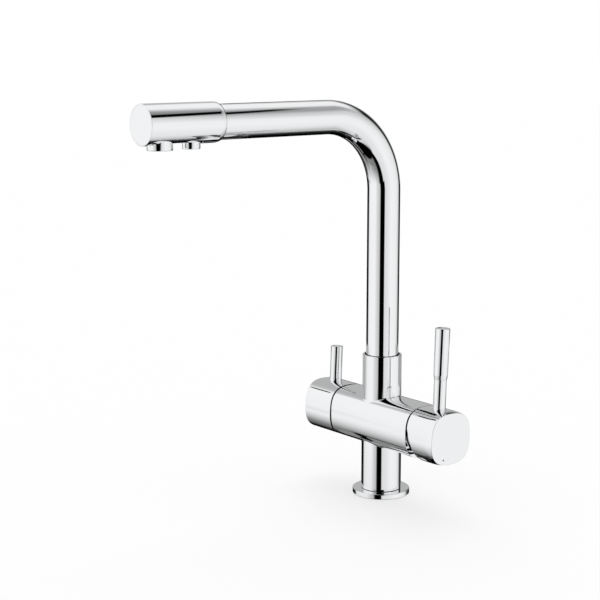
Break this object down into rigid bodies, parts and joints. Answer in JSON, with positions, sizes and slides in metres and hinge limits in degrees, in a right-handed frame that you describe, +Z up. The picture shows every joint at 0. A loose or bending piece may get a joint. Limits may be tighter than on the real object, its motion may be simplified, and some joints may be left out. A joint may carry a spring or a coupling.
{
  "type": "kitchen tap",
  "caption": "Kitchen mixer tap with an L-shaped swivel spout, a side mixer lever and a quarter turn lever for filtered water with its own outlet.",
  "frame": {"origin": "centre of the base flange, at the height of the worktop it stands on", "axes": "+Z up along the column; the spout points along -Y, towards the user; the mixer is on the +X side and the filter valve on the -X side"},
  "size_m": [0.1662, 0.2664, 0.3461],
  "materials": {
    "chrome": "mirror-polished chrome plate on brass",
    "brass": "machined brass",
    "steel": "plain stainless steel",
    "rubber": "moulded sealing rubber",
    "white_plastic": "white acetal",
    "dark_plastic": "dark glass-filled plastic",
    "ceramic": "ground alumina ceramic",
    "hose_plastic": "translucent polyethylene tube"
  },
  "bodies": {
    "base": {"base_flange": "chrome", "deck_seal": "rubber", "valve_body": "chrome", "spout_grub_screw": "steel", "cartridge_seal_cold": "rubber", "cartridge_seal_hot": "rubber", "cartridge_seal_mixed": "rubber", "cartridge_base": "dark_plastic", "cartridge_housing": "white_plastic", "cartridge_fixed_disc": "ceramic", "cartridge_nut": "brass", "cartridge_dome": "chrome", "filter_headpart": "brass", "filter_headpart_seal": "rubber", "filter_fixed_disc": "ceramic", "filter_guide_ring": "dark_plastic"},
    "spout": {"spout_tube": "chrome", "filtered_water_tube": "hose_plastic", "spout_foot": "brass", "spout_slip_ring_lower": "white_plastic", "spout_slip_ring_upper": "white_plastic", "spout_o_ring_lower": "rubber", "spout_o_ring_upper": "rubber", "spout_head": "chrome", "head_end_cap": "chrome", "outlet_block": "brass", "aerator_housing": "chrome", "aerator_insert": "white_plastic", "aerator_seal": "rubber", "filter_nozzle": "chrome", "filter_nozzle_insert": "white_plastic"},
    "mixer_rotor": {"cartridge_rotor": "dark_plastic", "cartridge_pivot_pin": "steel"},
    "mixing_disc": {"cartridge_moving_disc": "ceramic", "cartridge_disc_carrier": "dark_plastic"},
    "mixer_handle": {"cartridge_stem": "brass", "mixer_cap": "chrome", "mixer_index_dot": "dark_plastic", "mixer_grub_screw": "steel", "mixer_lever_pin": "chrome", "mixer_lever_grip": "chrome"},
    "filter_handle": {"filter_moving_disc": "ceramic", "filter_spindle": "brass", "filter_cap": "chrome", "filter_grub_screw": "steel", "filter_lever": "chrome"}
  },
  "joints": [
    {"name": "spout_swivel", "type": "hinge", "parent": "base", "child": "spout", "pos_m": [0, 0, 0], "axis": [0, 0, 1], "range_deg": [-90, 90]},
    {"name": "mixer_temperature", "type": "hinge", "parent": "base", "child": "mixer_rotor", "pos_m": [0, 0, 0.0662], "axis": [1, 0, 0], "range_deg": [-45, 45]},
    {"name": "mixer_flow", "type": "hinge", "parent": "mixer_rotor", "child": "mixer_handle", "pos_m": [0.05, 0, 0.0662], "axis": [0, 0.9993, -0.0384], "range_deg": [0, 22]},
    {"name": "mixing_disc_slide", "type": "slide", "parent": "mixer_rotor", "child": "mixing_disc", "axis": [0, 0.0384, 0.9993], "range_m": [0, 0.0049]},
    {"name": "filter_valve", "type": "hinge", "parent": "base", "child": "filter_handle", "pos_m": [0, 0, 0.0662], "axis": [1, 0, 0], "range_deg": [0, 90]}
  ],
  "couplings": [
    {"joint": "mixing_disc_slide", "follows": "mixer_flow", "m_per_rad": 0.0127}
  ]
}
